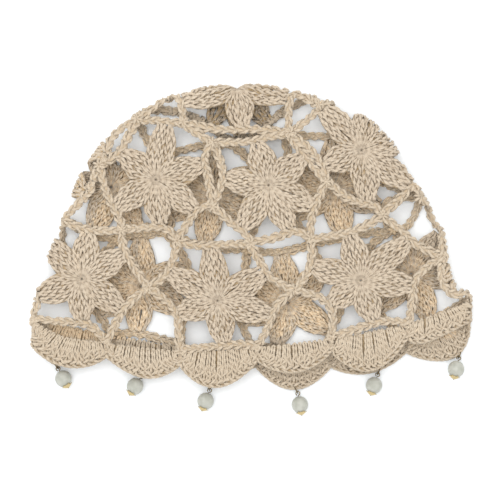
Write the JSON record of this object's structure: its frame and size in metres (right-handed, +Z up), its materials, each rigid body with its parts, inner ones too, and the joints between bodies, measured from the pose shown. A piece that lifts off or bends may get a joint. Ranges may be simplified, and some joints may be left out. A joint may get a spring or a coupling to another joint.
{
  "type": "crochet skull cap",
  "caption": "Openwork cotton crochet skull cap with a scalloped hem and small bead drops, lying flat.",
  "frame": {"origin": "centre of the bounding box's base, on the surface that the cap lies on", "axes": "+X across the cap, +Y from the head opening to the crown, +Z up through the front layer"},
  "size_m": [0.2668, 0.1998, 0.0188],
  "materials": {
    "cotton_petals": "matt cotton yarn, treble stitches",
    "cotton_chains": "matt cotton yarn, chain stitches",
    "cotton_shells": "matt cotton yarn, shell stitches",
    "frosted_glass": "frosted, milky",
    "gold_plate": "polished",
    "blackened_steel": "darkened wire"
  },
  "bodies": {
    "root": {"flower_crown": "cotton_petals", "flower_front_upper_left": "cotton_petals", "flower_front_upper_mid": "cotton_petals", "flower_front_upper_right": "cotton_petals", "flower_front_lower_left": "cotton_petals", "flower_front_lower_mid": "cotton_petals", "flower_front_lower_right": "cotton_petals", "flower_back_upper_right": "cotton_petals", "flower_back_upper_mid": "cotton_petals", "flower_back_upper_left": "cotton_petals", "flower_back_lower_right": "cotton_petals", "flower_back_lower_mid": "cotton_petals", "flower_back_lower_left": "cotton_petals", "chain_loop_crown": "cotton_chains", "chain_loop_front_upper_left": "cotton_chains", "chain_loop_front_upper_mid": "cotton_chains", "chain_loop_front_upper_right": "cotton_chains", "chain_loop_front_lower_left": "cotton_chains", "chain_loop_front_lower_mid": "cotton_chains", "chain_loop_front_lower_right": "cotton_chains", "chain_loop_back_upper_right": "cotton_chains", "chain_loop_back_upper_mid": "cotton_chains", "chain_loop_back_upper_left": "cotton_chains", "chain_loop_back_lower_right": "cotton_chains", "chain_loop_back_lower_mid": "cotton_chains", "chain_loop_back_lower_left": "cotton_chains", "scalloped_hem": "cotton_shells", "bead_1": "frosted_glass", "bead_cap_1": "gold_plate", "head_pin_1": "blackened_steel", "jump_ring_1": "blackened_steel", "bead_2": "frosted_glass", "bead_cap_2": "gold_plate", "head_pin_2": "blackened_steel", "jump_ring_2": "blackened_steel", "bead_3": "frosted_glass", "bead_cap_3": "gold_plate", "head_pin_3": "blackened_steel", "jump_ring_3": "blackened_steel", "bead_4": "frosted_glass", "bead_cap_4": "gold_plate", "head_pin_4": "blackened_steel", "jump_ring_4": "blackened_steel", "bead_5": "frosted_glass", "bead_cap_5": "gold_plate", "head_pin_5": "blackened_steel", "jump_ring_5": "blackened_steel", "bead_6": "frosted_glass", "bead_cap_6": "gold_plate", "head_pin_6": "blackened_steel", "jump_ring_6": "blackened_steel"}
  },
  "joints": []
}
